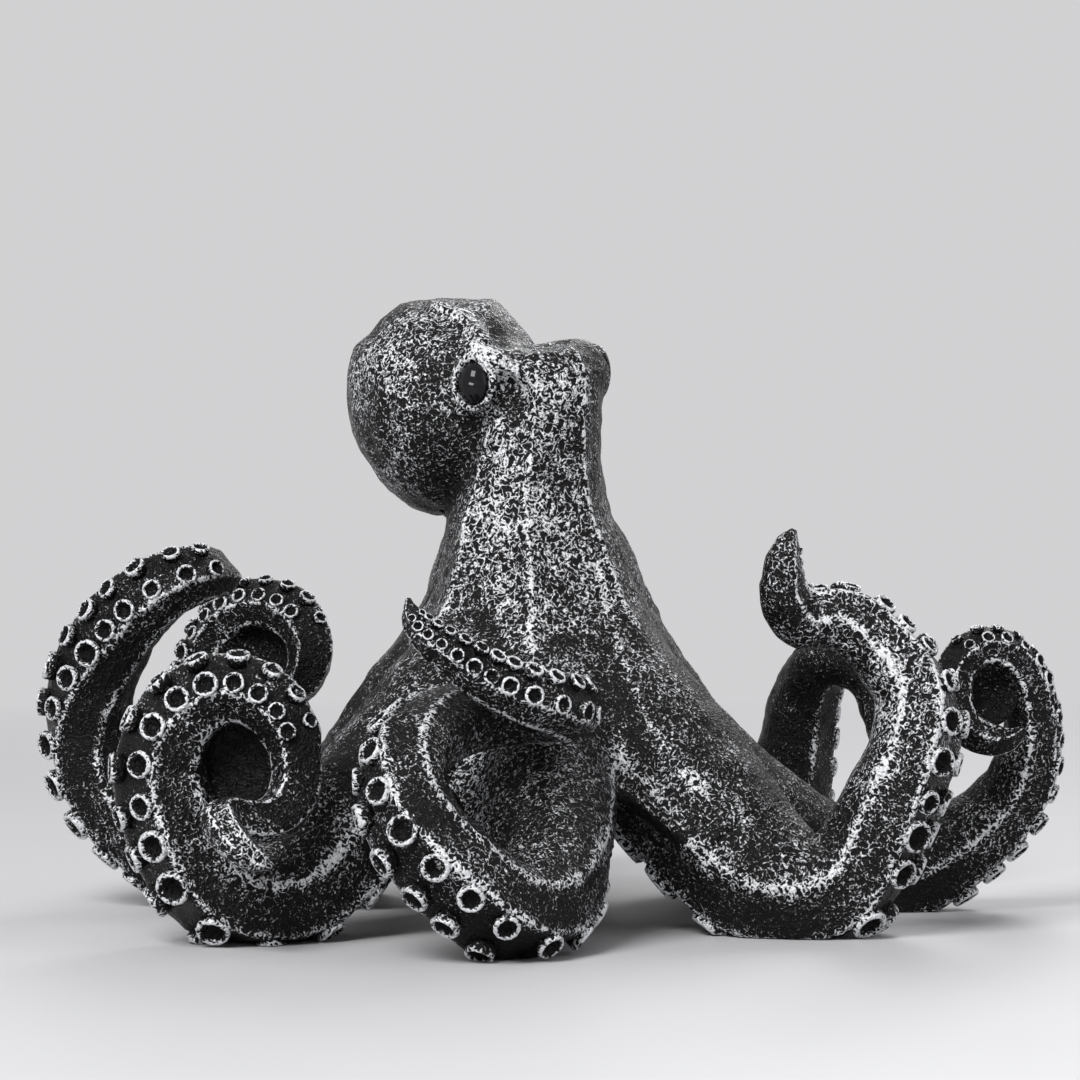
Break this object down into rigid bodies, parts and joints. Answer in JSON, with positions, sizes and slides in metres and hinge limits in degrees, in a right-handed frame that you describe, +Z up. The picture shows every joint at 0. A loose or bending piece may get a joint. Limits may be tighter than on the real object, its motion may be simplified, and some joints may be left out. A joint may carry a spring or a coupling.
{
  "type": "octopus figurine",
  "caption": "Table-top octopus ornament of cast resin: a leaning mantle on a tall neck, glossy inset eyes, and curled arms that it stands on.",
  "frame": {"origin": "on the ground, under the middle of the figurine's bounding box", "axes": "+Z up, -Y the side that the picture shows, +X to the viewer's right there"},
  "size_m": [0.2086, 0.1782, 0.1242],
  "materials": {
    "resin": "cast resin painted black with a hammered grain, dry-brushed with silver on its high spots",
    "eye_gloss": "glossy black half ball"
  },
  "bodies": {
    "root": {"body": "resin", "arm_front": "resin", "arm_front_right": "resin", "arm_right": "resin", "arm_rear_right": "resin", "arm_rear": "resin", "arm_rear_left": "resin", "arm_left": "resin", "arm_front_left": "resin", "eye_left": "eye_gloss", "eye_right": "eye_gloss"}
  },
  "joints": []
}
